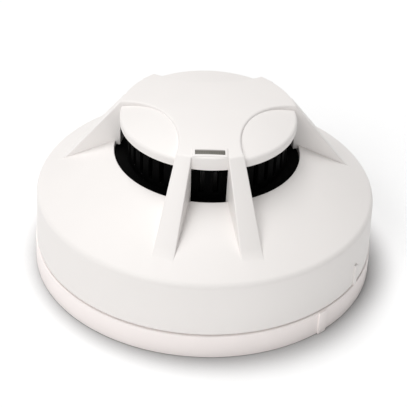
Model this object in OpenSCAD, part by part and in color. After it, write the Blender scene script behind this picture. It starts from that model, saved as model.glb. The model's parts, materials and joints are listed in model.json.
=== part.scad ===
// Point heat detector: a plug-in head on a twist-lock mounting base.
// The origin is the centre of the base's back face. +Z points out of the base towards the cap.
// Bearings are in degrees from the front (-Y) towards +X.

/* [Overall] */
// Radius of the cover's skirt at its lower edge
cover_r = 50.0; // [41:0.5:62]
// How much further out the base stands than the skirt
base_proud = 0.3; // [0:0.1:1]
// Height of the base
base_h = 7.5; // [6.5:0.5:10]
// Open seam between the base and the skirt
seam = 0.4; // [0.3:0.1:0.8]
// Height of the skirt, from the seam to its corner with the cone
skirt_h = 16.6; // [13:0.2:22]
// Rise of the cone, from the skirt's corner to the window rim
cone_rise = 12.6; // [11:0.2:18]
// Height of the windows
window_h = 9.4; // [7:0.2:13]
// Depth of the cap's rim at the arms
rim_h = 4.0; // [3.5:0.1:5]
// Rise of the cap's dome above its rim
dome_h = 2.5; // [1.5:0.1:4]

/* [Cover] */
// Thickness of the cover
wall = 2.2; // [1.8:0.1:2.6]
// How far the skirt leans in by its top
skirt_draft = 0.25; // [0:0.05:1]
// Round of the corner between skirt and cone
shoulder_round = 2.5; // [1:0.1:4]
// Radius of the window rim, where the cone ends
window_r = 27.1; // [25:0.1:32]
// Width of the twist mark on the skirt
cover_mark_w = 1.5; // [1:0.1:3]
// Height of the twist mark on the skirt
cover_mark_h = 6.8; // [4:0.1:10]
// Bearing of the twist mark on the skirt
cover_mark_at = 60.4; // [0:0.1:359]

/* [Cap] */
// How far the cap's rim stays inside the window rim
cap_inset = 1.5; // [0.5:0.1:3]
// Round of the rim's upper edge
rim_round = 0.5; // [0.2:0.1:1.5]
// Radius of the circle that outlines each lowered petal
petal_r = 22; // [16:0.5:26]
// How far a petal reaches in from the rim
petal_reach = 12.1; // [8:0.1:16]
// Step down to a petal at its inner end
petal_inner_step = 0.5; // [0.2:0.1:1]
// Step down to a petal at the rim
petal_rim_step = 1.55; // [0.5:0.05:2.5]

/* [Fins] */
// Bearing of each fin from the middle of its arm
fin_at = 16.7; // [14:0.1:24]
// Width of a fin at the cap's rim
fin_root_w = 4.4; // [3:0.1:6]
// Width of a fin at its lower end
fin_tip_w = 6.4; // [3:0.1:8]
// How far short of the skirt's corner a fin ends
fin_end_gap = 6.75; // [5:0.25:12]

/* [Twist lock] */
// Turn from the open position to the locked one
twist = 18.6; // [16:0.1:24]
// Half of the arc of each lug
lug_half = 6; // [4:0.5:8]
// How far a lug stands out of the hub
lug_out = 4; // [3:0.1:5]
// Thickness of a lug
lug_t = 1.5; // [1.2:0.1:2]
// Thickness of the hub's wall
hub_wall = 2.5; // [2:0.1:3]

/* [Mounting base] */
// Thickness of the base's floor
floor_t = 2.0; // [1.6:0.1:2.6]
// Thickness of the base's outer wall
base_wall = 2.2; // [1.6:0.1:3]
// Radius of the cable entry
cable_r = 11; // [8:0.5:12]
// Half width of the fixing slots
slot_r = 2.25; // [2:0.05:2.6]
// Length of the fixing slots, end to end
slot_l = 12; // [8:0.5:14]
// Distance between the wide pair of fixing slots
slots_wide = 60; // [56:1:62]
// Distance between the narrow pair of fixing slots
slots_narrow = 50; // [44:1:54]
// Width of the twist mark on the base
base_mark_w = 3; // [1:0.1:4]
// How far the twist marks stand out
mark_out = 0.5; // [0.3:0.1:0.8]

/* [Terminals] */
// Thickness of the terminal contacts
contact_t = 0.8; // [0.6:0.1:1]
// Width of a terminal contact
contact_w = 10; // [8:0.5:11]
// Length of a terminal contact
contact_l = 10.4; // [9.5:0.1:11]
// Radius of a terminal screw's thread
terminal_thread_r = 1.6; // [1.4:0.05:1.8]
// Radius of a terminal screw's head
terminal_head_r = 3.1; // [2.6:0.1:3.4]

/* [Electronics] */
// Thickness of the circuit board
board_t = 1.6; // [1.2:0.1:2]
// Height of the posts under the circuit board
post_h = 4.2; // [3.6:0.1:6]
// Radius of a cover screw's thread
screw_r = 1.1; // [0.9:0.05:1.3]

/* [Sensor] */
// Number of bars in the sensor guard
guard_bars = 36; // [24:2:48]
// Radius of the thermistor's bead
bead_r = 1.6; // [1:0.1:2.5]
// Radius of the post that carries the thermistor
mast_r = 3; // [2:0.1:4]
// Width of the indicator's slot
lens_w = 8.4; // [5:0.1:10]
// Depth of the indicator's slot, along the radius
lens_d = 1.9; // [1.5:0.1:3]
// Distance from the cap's rim to the indicator's slot
lens_edge = 1.4; // [1.2:0.1:3]

/* [Hidden] */
$fn = 96;

// Overlap of solids that are joined, and overshoot of cuts
eps = 0.02;
over = 1;
// Gap between pieces that fit into each other, and between pieces that slide past each other
fit_gap = 0.3;
// Gap round a screw's thread in its own hole
thread_gap = 0.05;
// Points on a drawn round, and on each half of a dome
round_steps = 6;
dome_steps = 10;

// Three arms, with a petal, a screw and a lug for each
ARMS = [0, 120, 240];
petal_at = 60;
screw_at = 60;
lug_at = 30;
leg_at = 95;
PINS = [80, 170, 260, 350];

white = [0.95, 0.94, 0.92];
black = [0.06, 0.06, 0.06];
metal = [0.78, 0.76, 0.70];
steel = [0.72, 0.73, 0.75];

// Heights of the cover
skirt_z = base_h + seam;
corner_z = skirt_z + skirt_h;
window_z = corner_z + cone_rise;
rim_z = window_z + window_h;
rim_top = rim_z + rim_h;
top_z = rim_top + dome_h;

// Radii of the cover
corner_r = cover_r - skirt_draft;
inner_r = corner_r - wall;
cap_r = window_r - cap_inset;
slope = cone_rise / (corner_r - window_r);
cone_drop = wall / cos(atan(slope));
function cone_z(r) = window_z - (r - window_r) * slope;
function under_z(r) = cone_z(r) - cone_drop;
fin_end_r = corner_r - fin_end_gap;
fin_back_r = cap_r - 1.4;
fin_sink = cone_drop / 2;

// The base
base_r = cover_r + base_proud;
bowl_r = base_r - base_wall;
collar_w = 1.6;
collar_h = 1.2;

// The head's backplate, and the seal below it
plate_z = skirt_z + 0.7;
plate_t = 2.2;
plate_r = inner_r - fit_gap;
plate_top = plate_z + plate_t;
seal_out_r = inner_r - 0.4;
seal_w = 2;
seal_h = 2.9;
seal_z = plate_z - fit_gap - seal_h;
seat_z = seal_z - fit_gap;
seat_r = seal_out_r - seal_w - 0.2;

// The twist lock, from the seal's seat inwards
hook_wall = 1.8;
hook_out_r = seat_r - 3;
hook_in_r = hook_out_r - hook_wall;
lug_r = hook_in_r - 0.7;
hub_r = lug_r - lug_out;
hub_in_r = hub_r - hub_wall;
ledge_r = hub_r + 1.5;
ledge_t = 1.5;
lug_z = floor_t + 1.2;
ledge_z = lug_z + lug_t + fit_gap;
stop_half = 1.1;
hook_half = lug_half + 2 * stop_half + 0.8;

// Terminals, inside the hub
contact_out_r = hub_in_r - 1.8;
contact_in_r = contact_out_r - contact_l;
boss_h = 2;
boss_margin = 0.3;
contact_z = floor_t + boss_h;
screw_at_r = contact_out_r - 3.7;
terminal_depth = 3;
rivet_in = 1.4;
rivet_r = 1.2;
rivet_head_r = 1.7;
rivet_head_h = 0.6;
clamp = 8;
clamp_t = 0.8;
terminal_head_h = 1.4;
pad_t = 0.6;
leaf_top = plate_z - pad_t - fit_gap;
leaf_t = 0.5;
leaf_reach = 13.8;
leaf_run = [4.6, 6, 9, 12, leaf_reach];
leaf_rise = [0, 0.15, 1, 1, 0.7];
leaf_w = 4.6;
leaf_clear = 0.88;
leaf_out_r = sqrt(pow(hub_in_r - leaf_clear, 2) - pow(leaf_reach, 2));
leaf_mid_r = leaf_out_r - leaf_w / 2;
leaf_contact = 10.5; // along the leaf, where the head's pin comes to rest
leaf_bearing = atan(leaf_contact / leaf_mid_r);
TERMINALS = [for (a = PINS) a - leaf_bearing - twist];

// Pins of the head
pad_w = 6;
pin_r = 0.8;
pin_up = 1;

// Circuit board and screws
board_z = plate_top + post_h;
board_top = board_z + board_t;
board_r = inner_r - 3.2;
parts_r = board_r - 11;
capacitor_r = 4;
film_box = [7.2, 3, 6];
post_r = 3.8;
post_at_r = seat_r - 3.5;
cover_boss_r = 3.1;
screw_head_r = 2.7;
screw_head_h = 1.7;
screw_sink = 2;
screw_grip = 8;
board_screw_head_r = 2;
board_screw_head_h = 1.2;
board_screw_grip = 5;
hole_gap = 0.4;

// Sensor
guard_r = cap_r - wall - 0.2;
guard_wall = 1.2;
chamber_disc_r = window_r - fit_gap;
chamber_disc_z = window_z - fin_sink - 0.44; // clear of the fins' feet
chamber_t = 1.6;
chamber_flange_r = window_r + 2.9;
chamber_flange_z = under_z(chamber_flange_r) - 0.2;
parts_gap = 2.3;
parts_h = min(under_z(parts_r + capacitor_r), chamber_flange_z - chamber_t) - board_top - parts_gap;
varistor_lift = 1.2;
varistor_r = (parts_h - varistor_lift - 0.4) / 2;
varistor_t = 3.2;
leg_r = 2.2;
leg_from_axis = chamber_disc_r - 3.5;
guard_top = rim_z + 0.1;
guard_slot = 1.6;
guard_foot = 2;
mast_top = window_z + 1;
mast_tip_r = 1.6;
bead_z = window_z + window_h * 0.75;
lead_r = 0.3;
lead_half = 0.8;
lead_sink = 0.1;

// Indicator
lens_mid_r = cap_r - lens_edge - lens_d / 2;
lens_sunk = 0.1;
lens_shelf = 1.3;
stem_w = 5;
stem_d = 2.4;
stem_mid_r = guard_r - guard_wall - 0.4 - stem_d / 2;
led_r = 1.5;
led_h = 5;
stem_z = board_top + led_h + 0.4;
bezel = 0.9;
bezel_h = 0.25;

// ---- helpers ----

// Places what is drawn at the front onto a bearing
module bearing(a) {
  rotate([0, 0, a]) children();
}

// Places what is drawn round the axis's front point at a radius
module at_radius(r, a) {
  bearing(a) translate([0, -r, 0]) children();
}

// Turns a half section about the axis over part of a circle
module sector(middle, half) {
  rotate([0, 0, middle - 90 - half]) rotate_extrude(angle = 2 * half) children();
}

// A half section's rectangle
module band(r0, r1, z0, z1) {
  translate([r0, z0]) square([r1 - r0, z1 - z0]);
}

// A ring about the axis
module ring(r0, r1, z0, z1) {
  rotate_extrude() band(r0, r1, z0, z1);
}

// A rod standing between two heights
module rod(r, z0, z1) {
  translate([0, 0, z0]) cylinder(r = r, h = z1 - z0);
}

// A block centred on the radius, between two radii and two heights
module block(r0, r1, w, z0, z1) {
  translate([-w / 2, -r1, z0]) cube([w, r1 - r0, z1 - z0]);
}

// Points of a round at corner b of the path a, b, c
function unit(v) = v / norm(v);
function round_at(a, b, c, r) =
  let (
    u = unit(a - b),
    v = unit(c - b),
    half = acos(u * v) / 2,
    mid = unit(u + v),
    centre = b + mid * (r / sin(half)),
    from = b + u * (r / tan(half)) - centre,
    to = b + v * (r / tan(half)) - centre,
    a0 = atan2(from.y, from.x),
    turn = atan2(from.x * to.y - from.y * to.x, from * to)
  )
  [for (i = [0:round_steps]) let (a = a0 + turn * i / round_steps) centre + r * [cos(a), sin(a)]];

// Height of a dome that is z at the axis and falls by drop at radius r
function dome_at(x, z, drop, r) = z - drop * x * x / (r * r);
function dome_path(z, drop, r, from, to) =
  [for (i = [0:dome_steps]) let (x = from + (to - from) * i / dome_steps) [x, dome_at(x, z, drop, r)]];

// ---- cover ----

// The petals' dome meets both of their steps
petal_in_r = cap_r - petal_reach;
petal_drop = (petal_rim_step - petal_inner_step) / (1 - pow(petal_in_r / cap_r, 2));
petal_top = top_z - petal_rim_step + petal_drop;

module skirt_and_cone() {
  rotate_extrude() polygon(concat(
    [[cover_r, skirt_z]],
    round_at([cover_r, skirt_z], [corner_r, corner_z], [window_r, window_z], shoulder_round),
    [[window_r, window_z], [window_r, under_z(window_r)], [inner_r, under_z(inner_r)], [inner_r, skirt_z]]
  ));
}

module cap_shell() {
  inner = cap_r - wall;
  rotate_extrude() polygon(concat(
    dome_path(top_z, dome_h, cap_r, 0, cap_r - rim_round),
    [[cap_r, rim_top - rim_round], [cap_r, rim_z], [inner, rim_z]],
    dome_path(top_z - wall, dome_h, cap_r, inner, 0)
  ));
}

module petal_cuts() {
  for (a = ARMS) intersection() {
    at_radius(petal_in_r + petal_r, a + petal_at) rod(petal_r, rim_z, top_z + over);
    rotate_extrude() polygon(concat(
      dome_path(petal_top, dome_h + petal_drop, cap_r, 0, cap_r + over),
      [[cap_r + over, top_z + over], [0, top_z + over]]
    ));
  }
}

// One fin: a wedge in plan, cut to a sloping blade in side view
module fin() {
  intersection() {
    translate([0, 0, window_z - cone_rise]) linear_extrude(cone_rise + window_h + rim_h + dome_h) polygon([
      [-fin_root_w / 2, -fin_back_r],
      [fin_root_w / 2, -fin_back_r],
      [fin_tip_w / 2, -fin_end_r],
      [-fin_tip_w / 2, -fin_end_r]
    ]);
    rotate([90, 0, 90]) translate([0, 0, -fin_tip_w]) linear_extrude(2 * fin_tip_w) polygon([
      [-cap_r, window_z - fin_sink],
      [-cap_r, rim_z + rim_h / 4],
      [-fin_back_r, rim_z + rim_h / 4],
      [-fin_back_r, dome_at(fin_back_r, top_z, dome_h, cap_r) - eps],
      [-cap_r, rim_top],
      [-fin_end_r, cone_z(fin_end_r)],
      [-fin_end_r, cone_z(fin_end_r) - fin_sink],
      [-window_r, window_z - fin_sink]
    ]);
  }
}

// Low frame round the indicator's slot, level with the dome
module indicator_frame() {
  half = lens_d / 2 + bezel;
  intersection() {
    block(lens_mid_r - half, lens_mid_r + half, lens_w + 2 * bezel, rim_z, top_z + over);
    rotate_extrude() polygon(concat(
      dome_path(top_z + bezel_h, dome_h, cap_r, 0, cap_r),
      dome_path(top_z - wall / 2, dome_h, cap_r, cap_r, 0)
    ));
  }
}

module outer_cover() color(white) difference() {
  union() {
    skirt_and_cone();
    difference() {
      cap_shell();
      petal_cuts();
    }
    for (a = ARMS, side = [-1, 1]) bearing(a + side * fin_at) fin();
    indicator_frame();
    // Bosses for the cover screws
    for (a = ARMS) at_radius(post_at_r, a + screw_at)
      rod(cover_boss_r, board_top, under_z(post_at_r + cover_boss_r) + cone_drop / 2);
    // Twist mark
    bearing(cover_mark_at)
      block(cover_r - wall, cover_r + mark_out, cover_mark_w, skirt_z, skirt_z + cover_mark_h);
  }
  // Slot of the indicator
  block(lens_mid_r - lens_d / 2, lens_mid_r + lens_d / 2, lens_w, rim_z, top_z + over);
  for (a = ARMS) at_radius(post_at_r, a + screw_at)
    rod(screw_r + thread_gap, board_top - over, board_top + screw_grip + over);
}

// ---- base ----

module slot_cut(distance, turn) {
  reach = slot_l / 2 - slot_r;
  for (side = [-1, 1]) rotate([0, 0, turn]) translate([side * distance / 2, 0, 0]) {
    translate([-reach, -slot_r, -over]) cube([2 * reach, 2 * slot_r, floor_t + 2 * over]);
    for (end = [-1, 1]) translate([end * reach, 0, 0]) rod(slot_r, -over, floor_t + over);
  }
}

// A hook of the twist lock, with the stop at its far end
module hook(middle) {
  sector(middle, hook_half) band(hook_in_r, hook_out_r, floor_t - eps, ledge_z + ledge_t);
  sector(middle, hook_half) band(ledge_r, hook_in_r + eps, ledge_z, ledge_z + ledge_t);
  sector(middle - hook_half + stop_half, stop_half)
    band(ledge_r, hook_in_r + eps, floor_t - eps, ledge_z + eps);
}

module mounting_base() color(white) difference() {
  union() {
    rotate_extrude() polygon([
      [0, 0], [base_r - 0.3, 0], [base_r, 0.3], [base_r, base_h - 0.3], [base_r - 0.3, base_h],
      [bowl_r, base_h], [bowl_r, seat_z], [seat_r, seat_z], [seat_r, floor_t], [0, floor_t]
    ]);
    ring(cable_r, cable_r + collar_w, floor_t - eps, floor_t + collar_h);
    for (a = ARMS) hook(a + lug_at - twist);
    for (a = TERMINALS) bearing(a) block(contact_in_r - boss_margin, contact_out_r + boss_margin,
      contact_w + 2 * boss_margin, floor_t - eps, contact_z);
    bearing(cover_mark_at - twist)
      block(base_r - base_wall, base_r + mark_out, base_mark_w, 0, base_h);
  }
  rod(cable_r, -over, base_h);
  slot_cut(slots_wide, 0);
  slot_cut(slots_narrow, 90);
  for (a = TERMINALS) {
    at_radius(screw_at_r, a)
      rod(terminal_thread_r + thread_gap, contact_z - terminal_depth, contact_z + over);
    at_radius(contact_in_r + rivet_in, a) rod(rivet_r, contact_z - terminal_depth, contact_z + over);
  }
}

// A terminal's plate and the sprung leaf that meets the head's pin
module terminal_contact(a) color(metal) bearing(a) {
  difference() {
    block(contact_in_r, contact_out_r, contact_w, contact_z, contact_z + contact_t);
    at_radius(screw_at_r, 0)
      rod(terminal_thread_r + thread_gap, contact_z - over, contact_z + contact_t + over);
    at_radius(contact_in_r + rivet_in, 0) rod(rivet_r, contact_z - over, contact_z + contact_t + over);
  }
  rise = leaf_top - contact_z - leaf_t;
  steps = len(leaf_run) - 1;
  translate([0, -leaf_mid_r + leaf_w / 2, 0]) rotate([90, 0, 0]) linear_extrude(leaf_w) polygon(concat(
    [for (i = [0:steps]) [leaf_run[i], contact_z + rise * leaf_rise[i]]],
    [for (i = [steps:-1:0]) [leaf_run[i], contact_z + rise * leaf_rise[i] + leaf_t]]
  ));
}

module contact_line_in() terminal_contact(TERMINALS[0]);
module contact_line_out() terminal_contact(TERMINALS[1]);
module contact_common() terminal_contact(TERMINALS[2]);
module contact_remote() terminal_contact(TERMINALS[3]);

module contact_rivets() color(steel) for (a = TERMINALS) at_radius(contact_in_r + rivet_in, a) {
  rod(rivet_r, contact_z - terminal_depth, contact_z + contact_t);
  translate([0, 0, contact_z + contact_t]) cylinder(r1 = rivet_head_r, r2 = rivet_r, h = rivet_head_h);
}

module clamp_plates() color(steel) for (a = TERMINALS) at_radius(screw_at_r, a)
  translate([0, 0, contact_z + contact_t]) difference() {
    translate([-clamp / 2, -clamp / 2 + 0.5, 0]) cube([clamp, clamp - 1, clamp_t]);
    rod(terminal_thread_r + fit_gap, -over, clamp_t + over);
  }

// A slotted pan-head screw whose head stands on z = 0
module screw(thread_r, head_r, head_h, length) {
  difference() {
    rotate_extrude() polygon([
      [0, -length], [thread_r * 0.6, -length], [thread_r, -length + thread_r * 0.6], [thread_r, 0],
      [head_r, 0], [head_r, head_h * 0.5], [head_r * 0.7, head_h], [0, head_h]
    ]);
    translate([-head_r, -0.35, head_h * 0.45]) cube([2 * head_r, 0.7, head_h]);
  }
}

module terminal_screws() color(steel) for (a = TERMINALS) at_radius(screw_at_r, a)
  translate([0, 0, contact_z + contact_t + clamp_t])
    screw(terminal_thread_r, terminal_head_r, terminal_head_h, contact_t + clamp_t + terminal_depth - 0.4);

// A ring with a waist, so that it gives when it is squeezed
module seal_ring() color(black) {
  in_r = seal_out_r - seal_w;
  waist = 0.4;
  rotate_extrude() polygon([
    [in_r, seal_z], [seal_out_r, seal_z], [seal_out_r - waist, seal_z + seal_h / 2],
    [seal_out_r, seal_z + seal_h], [in_r, seal_z + seal_h], [in_r + waist, seal_z + seal_h / 2]
  ]);
}

// ---- head ----

module head_backplate() color(white) difference() {
  union() {
    ring(0, plate_r, plate_z, plate_top);
    ring(hub_in_r, hub_r, lug_z, plate_z + eps);
    for (a = ARMS) {
      sector(a + lug_at, lug_half) band(hub_r - eps, lug_r, lug_z, lug_z + lug_t);
      at_radius(post_at_r, a + screw_at) rod(post_r, plate_top - eps, board_z);
    }
  }
  for (a = ARMS) at_radius(post_at_r, a + screw_at) {
    rod(screw_r + hole_gap, plate_z - over, board_z + over);
    rod(screw_head_r + hole_gap, plate_z - over, plate_z + screw_sink);
  }
  for (a = PINS) at_radius(leaf_mid_r, a) rod(pin_r + thread_gap, plate_z - over, plate_top + over);
}

// A pad that wipes over a terminal's leaf, and its pin up through the circuit board
module contact_pin(a) color(metal) at_radius(leaf_mid_r, a) {
  translate([-pad_w / 2, -leaf_w / 2, plate_z - pad_t]) cube([pad_w, leaf_w, pad_t]);
  rod(pin_r, plate_z - eps, board_top + pin_up);
}

module pin_line_in() contact_pin(PINS[0]);
module pin_line_out() contact_pin(PINS[1]);
module pin_common() contact_pin(PINS[2]);
module pin_remote() contact_pin(PINS[3]);

module rating_label() color([0.8, 0.8, 0.78]) rod(cable_r + 3, plate_z - 0.15, plate_z);

module circuit_board() color([0.10, 0.42, 0.22]) difference() {
  ring(0, board_r, board_z, board_top);
  for (a = ARMS) {
    at_radius(post_at_r, a + screw_at) rod(screw_r + hole_gap, board_z - over, board_top + over);
    at_radius(leg_from_axis, a + leg_at) rod(screw_r + hole_gap, board_z - over, board_top + over);
  }
  for (a = PINS) at_radius(leaf_mid_r, a) rod(pin_r + thread_gap, board_z - over, board_top + over);
}

module cover_screws() color(steel) for (a = ARMS) at_radius(post_at_r, a + screw_at)
  translate([0, 0, plate_z + screw_sink]) mirror([0, 0, 1])
    screw(screw_r, screw_head_r, screw_head_h, board_top - plate_z - screw_sink + screw_grip);

module board_screws() color(steel) for (a = ARMS) at_radius(leg_from_axis, a + leg_at)
  translate([0, 0, board_z]) mirror([0, 0, 1])
    screw(screw_r, board_screw_head_r, board_screw_head_h, board_t + board_screw_grip);

module chamber_base() color(black) difference() {
  under_flange = chamber_flange_z - chamber_t;
  under_disc = chamber_disc_z - chamber_t;
  union() {
    rotate_extrude() polygon([
      [0, chamber_disc_z], [chamber_disc_r, chamber_disc_z],
      [chamber_disc_r, chamber_flange_z], [chamber_flange_r, chamber_flange_z],
      [chamber_flange_r, under_flange], [chamber_disc_r - chamber_t, under_flange],
      [chamber_disc_r - chamber_t, under_disc], [0, under_disc]
    ]);
    for (a = ARMS) at_radius(leg_from_axis, a + leg_at)
      rod(leg_r, board_top, chamber_disc_z - chamber_t + eps);
  }
  for (a = ARMS) at_radius(leg_from_axis, a + leg_at)
    rod(screw_r + thread_gap, board_top - over, board_top + board_screw_grip + over);
  block(stem_mid_r - stem_d / 2 - fit_gap, stem_mid_r + stem_d / 2 + fit_gap, stem_w + 2 * fit_gap,
    board_top, chamber_disc_z + over);
  rod(mast_r + fit_gap, board_top, chamber_disc_z + over);
}

module sensor_guard() color(black) difference() {
  ring(guard_r - guard_wall, guard_r, chamber_disc_z, guard_top);
  for (i = [0:guard_bars / 2 - 1]) rotate([0, 0, (i + 0.5) * 360 / guard_bars])
    translate([-guard_r - over, -guard_slot / 2, chamber_disc_z + guard_foot])
      cube([2 * (guard_r + over), guard_slot, guard_top - chamber_disc_z - 2 * guard_foot]);
}

module thermistor_mast() color(black) rotate_extrude() polygon([
  [0, board_top], [mast_r, board_top], [mast_r, chamber_disc_z + 1], [mast_tip_r, mast_top], [0, mast_top]
]);

// The two wires from the post to the bead
module lead_wires() {
  for (side = [-1, 1]) translate([side * lead_half, 0, 0])
    rod(lead_r, mast_top, bead_z - sqrt(bead_r * bead_r - lead_half * lead_half) + lead_sink);
}

module thermistor_leads() color(metal) lead_wires();

module thermistor_bead() color([0.15, 0.12, 0.1]) difference() {
  translate([0, 0, bead_z]) sphere(r = bead_r);
  lead_wires();
}

module alarm_led() color([0.8, 0.1, 0.1]) at_radius(stem_mid_r, 0) translate([0, 0, board_top]) {
  cylinder(r = led_r + 0.4, h = 1);
  cylinder(r = led_r, h = led_h - led_r);
  translate([0, 0, led_h - led_r]) sphere(r = led_r);
}

module light_pipe() color([0.45, 0.44, 0.41]) {
  shelf_top = dome_at(lens_mid_r - lens_d / 2, top_z - wall, dome_h, cap_r) - 0.5;
  lens_in_r = lens_mid_r - lens_d / 2 + 0.1;
  lens_out_r = lens_mid_r + lens_d / 2 - 0.1;
  block(lens_in_r, lens_out_r, lens_w - 0.2,
    shelf_top - eps, dome_at(lens_mid_r, top_z, dome_h, cap_r) + bezel_h - lens_sunk);
  block(stem_mid_r - stem_d / 2, min(lens_out_r, cap_r - wall - 0.1), lens_w - 0.2,
    shelf_top - lens_shelf, shelf_top);
  block(stem_mid_r - stem_d / 2, stem_mid_r + stem_d / 2, stem_w, stem_z, shelf_top - lens_shelf + eps);
}

// ---- parts on the circuit board ----

// Puts a part on the board, turned by spin about itself
module on_board(r, a, spin = 0) {
  at_radius(r, a) translate([0, 0, board_top]) rotate([0, 0, spin]) children();
}

// A box standing on the board with its middle over the origin
module chip(l, w, h, lift = 0) {
  translate([-l / 2, -w / 2, lift]) cube([l, w, h]);
}

module microcontroller() color([0.1, 0.1, 0.1]) on_board(12.5, 145) {
  chip(8, 8, 1.4, 0.3);
  for (side = [0:3], i = [-4:4]) rotate([0, 0, 90 * side]) translate([i * 0.8, -4.5, 0]) chip(0.36, 1.4, 0.5);
}

module bridge_rectifier() color([0.12, 0.12, 0.12]) on_board(parts_r, 25) {
  chip(6.4, 5, 2.6, 0.5);
  for (x = [-2, 2], side = [-1, 1]) translate([x, side * 2.8, 0]) chip(1, 1.4, 0.8);
}

module surge_varistor() color([0.2, 0.35, 0.7]) on_board(parts_r, 318, 35) {
  translate([0, varistor_t / 2, varistor_lift + varistor_r]) rotate([90, 0, 0])
    cylinder(r = varistor_r, h = varistor_t);
  for (side = [-1, 1]) translate([side * varistor_r / 2, 0, 0]) rod(lead_r, 0, varistor_r);
}

module capacitors() color([0.16, 0.18, 0.3]) for (a = [130, 160]) on_board(parts_r, a)
  rotate_extrude() polygon([
    [0, 0], [capacitor_r - 0.4, 0], [capacitor_r, 0.4], [capacitor_r, 1.6], [capacitor_r - 0.3, 2],
    [capacitor_r, 2.4], [capacitor_r, parts_h - 0.4], [capacitor_r - 0.4, parts_h], [0, parts_h]
  ]);

module film_capacitor() color([0.75, 0.2, 0.15]) on_board(parts_r, 200, 90) {
  chip(film_box.x, film_box.y, film_box.z, 1);
  for (side = [-1, 1]) translate([side * film_box.x / 3, 0, 0]) rod(lead_r, 0, 1 + eps);
}

module resistors() color([0.15, 0.15, 0.15]) for (i = [0:7])
  on_board(parts_r - 2 + 4 * (i % 2), 226 + 6 * i) chip(1.2, 1.6, 0.6);

module diodes() color([0.3, 0.12, 0.1]) for (a = [282, 292, 302])
  on_board(parts_r - 1, a) translate([0, 0, 1.1]) {
    rotate([90, 0, 0]) translate([0, 0, -2.1]) cylinder(r = 1, h = 4.2);
    for (side = [-1, 1]) translate([0, side * 2.6, -1.1]) chip(0.5, 1.2, 1.2);
  }

module reed_switch() color([0.6, 0.75, 0.7]) on_board(parts_r + 3, 95) translate([0, 0, 1.8]) {
  rotate([0, 90, 0]) translate([0, 0, -6]) cylinder(r = 1.2, h = 12);
  for (side = [-1, 1]) translate([side * 6.6, 0, -1.8]) chip(1.4, 0.5, 1.9);
}

mounting_base();
contact_line_in();
contact_line_out();
contact_common();
contact_remote();
contact_rivets();
clamp_plates();
terminal_screws();
seal_ring();
outer_cover();
head_backplate();
pin_line_in();
pin_line_out();
pin_common();
pin_remote();
rating_label();
circuit_board();
cover_screws();
board_screws();
chamber_base();
sensor_guard();
thermistor_mast();
thermistor_leads();
thermistor_bead();
alarm_led();
light_pipe();
microcontroller();
bridge_rectifier();
surge_varistor();
capacitors();
film_capacitor();
resistors();
diodes();
reed_switch();
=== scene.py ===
"""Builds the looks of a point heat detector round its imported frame."""

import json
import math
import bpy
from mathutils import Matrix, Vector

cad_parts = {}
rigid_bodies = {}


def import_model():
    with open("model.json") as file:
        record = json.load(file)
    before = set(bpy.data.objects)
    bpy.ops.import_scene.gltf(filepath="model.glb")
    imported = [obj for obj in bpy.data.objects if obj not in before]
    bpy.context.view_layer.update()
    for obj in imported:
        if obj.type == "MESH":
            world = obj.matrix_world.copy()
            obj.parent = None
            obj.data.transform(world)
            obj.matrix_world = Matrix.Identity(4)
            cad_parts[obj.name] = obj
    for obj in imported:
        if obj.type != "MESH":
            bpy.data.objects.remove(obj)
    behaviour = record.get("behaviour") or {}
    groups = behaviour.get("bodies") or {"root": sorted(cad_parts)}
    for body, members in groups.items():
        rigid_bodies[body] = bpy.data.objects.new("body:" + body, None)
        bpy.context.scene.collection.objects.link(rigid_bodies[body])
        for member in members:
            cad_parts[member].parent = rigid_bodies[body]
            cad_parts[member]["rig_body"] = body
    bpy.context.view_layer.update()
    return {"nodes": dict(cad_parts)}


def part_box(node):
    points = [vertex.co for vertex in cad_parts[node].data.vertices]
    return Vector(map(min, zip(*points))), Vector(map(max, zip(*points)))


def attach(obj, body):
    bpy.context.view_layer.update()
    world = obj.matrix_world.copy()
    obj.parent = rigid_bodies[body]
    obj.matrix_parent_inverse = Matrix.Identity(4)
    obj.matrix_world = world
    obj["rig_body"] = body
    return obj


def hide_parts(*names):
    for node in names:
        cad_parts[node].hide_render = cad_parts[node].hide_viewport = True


bl_info = {
    "name": "Heat Detector Looks",
    "version": (1, 0, 0),
    "blender": (4, 5, 0),
    "location": "3D View > Sidebar > Heat Detector",
    "description": "Builds the finished pieces of a twist-lock heat detector",
    "category": "Object",
}

from types import SimpleNamespace

import bmesh
import bpy
from mathutils import Matrix, Vector

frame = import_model()

MM = 0.001
ARMS = (0, 120, 240)
PETAL_TURN = 60
SPIN_STEPS = 240
MERGE = 1e-5

COVER_LOW, COVER_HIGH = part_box("outer_cover")
BASE_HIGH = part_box("mounting_base")[1]
PIPE_LOW, PIPE_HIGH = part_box("light_pipe")
SEAL_LOW, SEAL_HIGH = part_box("seal_ring")
BOARD_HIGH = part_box("circuit_board")[1]
LABEL_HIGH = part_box("rating_label")[1]

# In millimetres, or in degrees for a bearing
COVER_SCREW_HEAD = 2.7
COVER_SCREW_HOLE = 1.15
BOSS_RADIUS = 3.1
TERMINAL_BEARINGS = tuple(39.9 + 90 * i for i in range(4))
TERMINAL_SEAT = (-5.3, 5.3, -31.45, -20.45)
TERMINAL_HOLES = ((1.65, 27.45), (1.2, 22.15))
HOOK_TURN = 30
HOOK_HALF = 9
HOOK_STOP = 1.1
SLOT_PAIRS = ((0, 60), (90, 50))
COLLAR_WALL, COLLAR_RISE = 1.6, 1.2
SINK = 0.5

# In metres
AIM = (-0.0003, 0.0178)
FLOOR_GAP = 0.00005


# ---- sizes and colours ----


def length(name, description, default):
    """A size that a user may change, in metres."""
    return bpy.props.FloatProperty(
        name=name, description=description, default=default, unit="LENGTH", precision=5
    )


def colour(name, description, default):
    """A colour that a user may change."""
    return bpy.props.FloatVectorProperty(
        name=name,
        description=description,
        default=default,
        subtype="COLOR",
        size=3,
        min=0,
        max=1,
    )


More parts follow.
